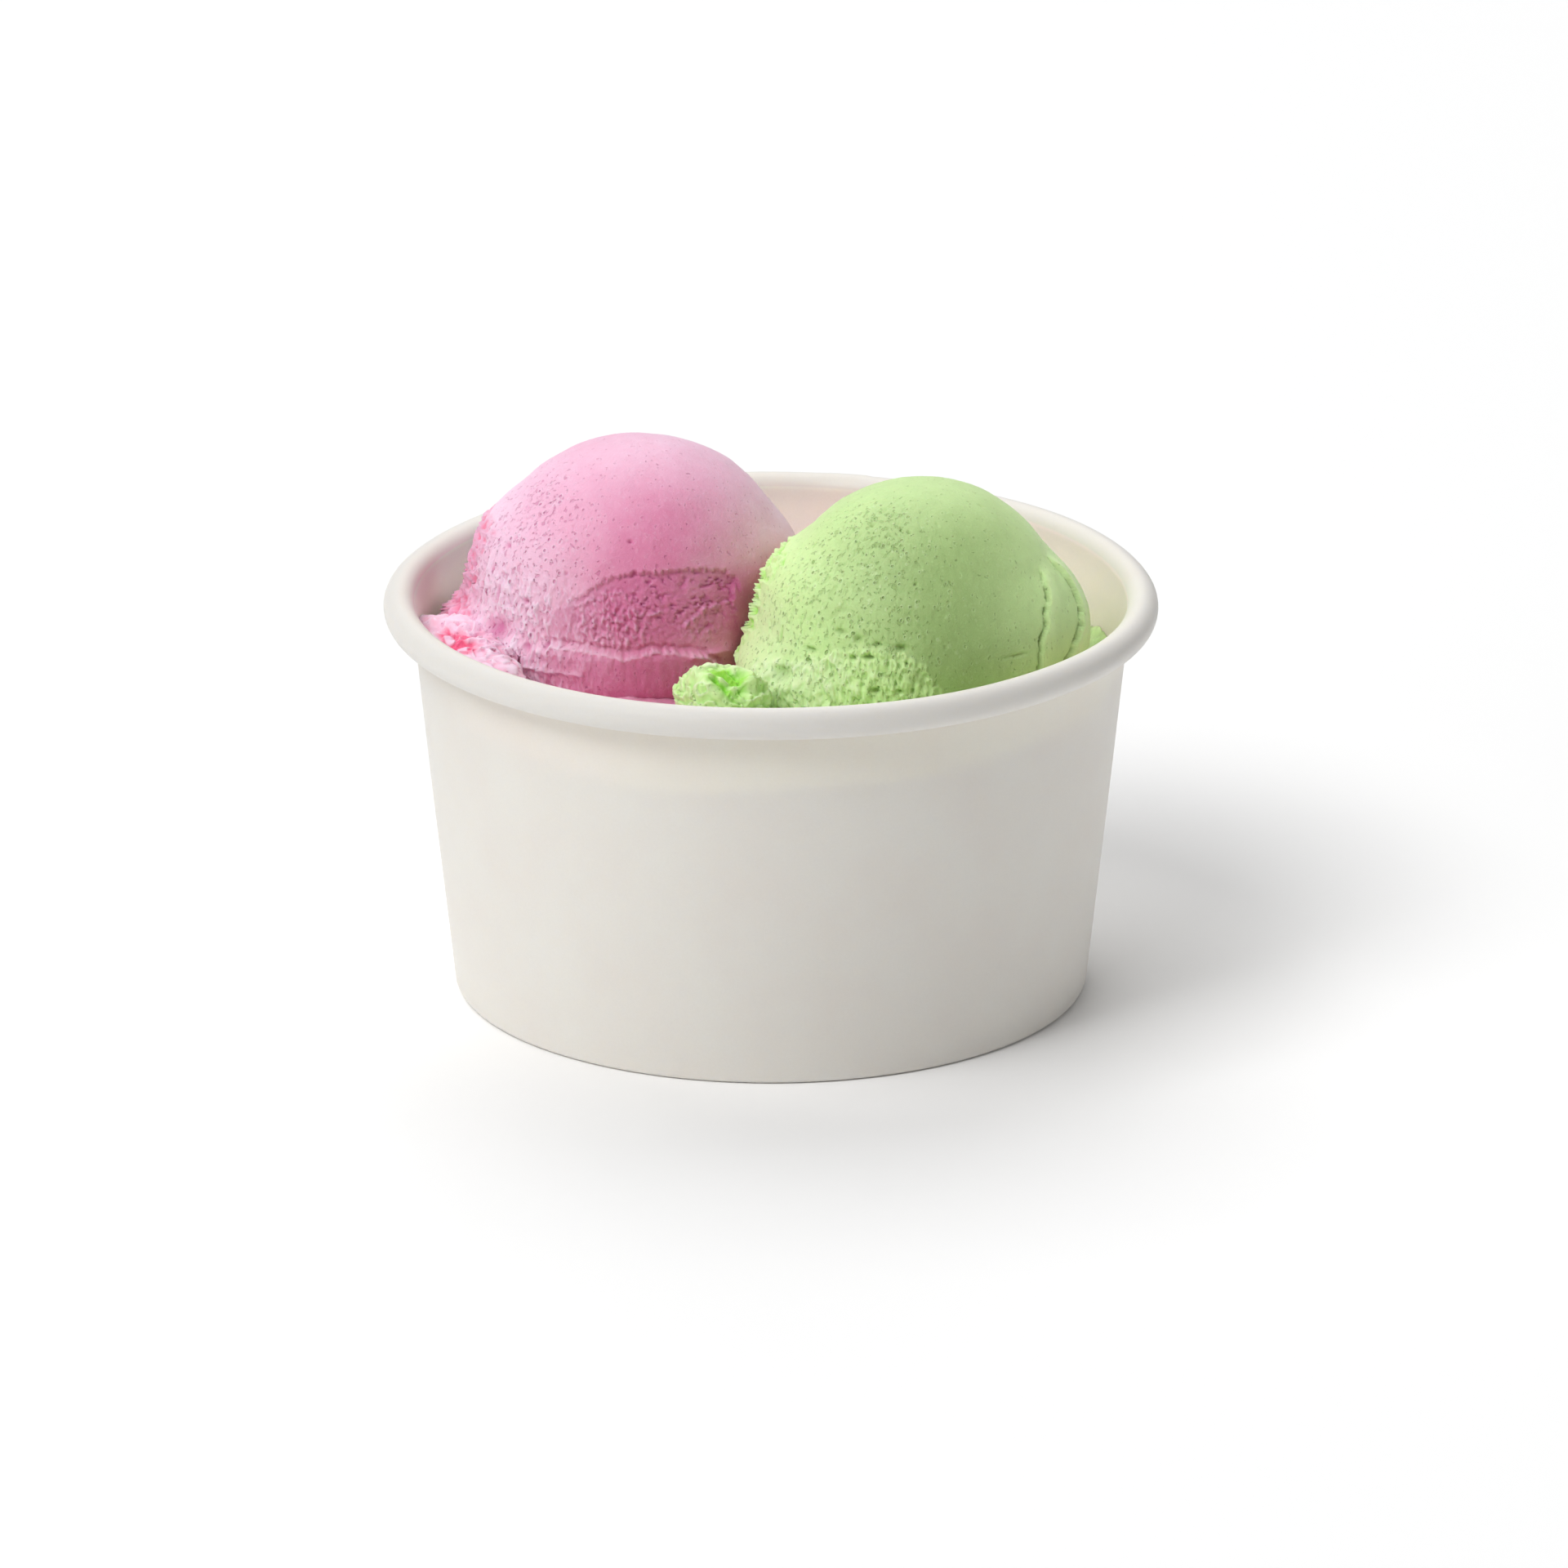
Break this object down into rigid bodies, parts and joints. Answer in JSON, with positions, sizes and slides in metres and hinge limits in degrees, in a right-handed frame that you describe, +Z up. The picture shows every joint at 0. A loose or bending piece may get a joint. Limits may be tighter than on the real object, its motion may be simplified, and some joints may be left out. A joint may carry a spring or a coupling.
{
  "type": "gelato cup",
  "caption": "Round white paper cup filled with gelato, with one rounded strawberry scoop and one pistachio scoop side by side.",
  "frame": {"origin": "centre of the cup's foot, on the surface that it stands on", "axes": "+Z up along the cup's axis. -Y is the front, where the strawberry scoop is behind on the left and the pistachio scoop is ahead on the right. +X is to the right."},
  "size_m": [0.096, 0.096, 0.0675],
  "materials": {
    "cup_paper": "matt uncoated-looking white board",
    "strawberry_gelato": "soft, moist and finely porous",
    "pistachio_gelato": "soft, moist and finely porous"
  },
  "bodies": {
    "root": {"cup_wall": "cup_paper", "cup_base": "cup_paper", "scoop_strawberry": "strawberry_gelato", "scoop_pistachio": "pistachio_gelato"}
  },
  "joints": []
}
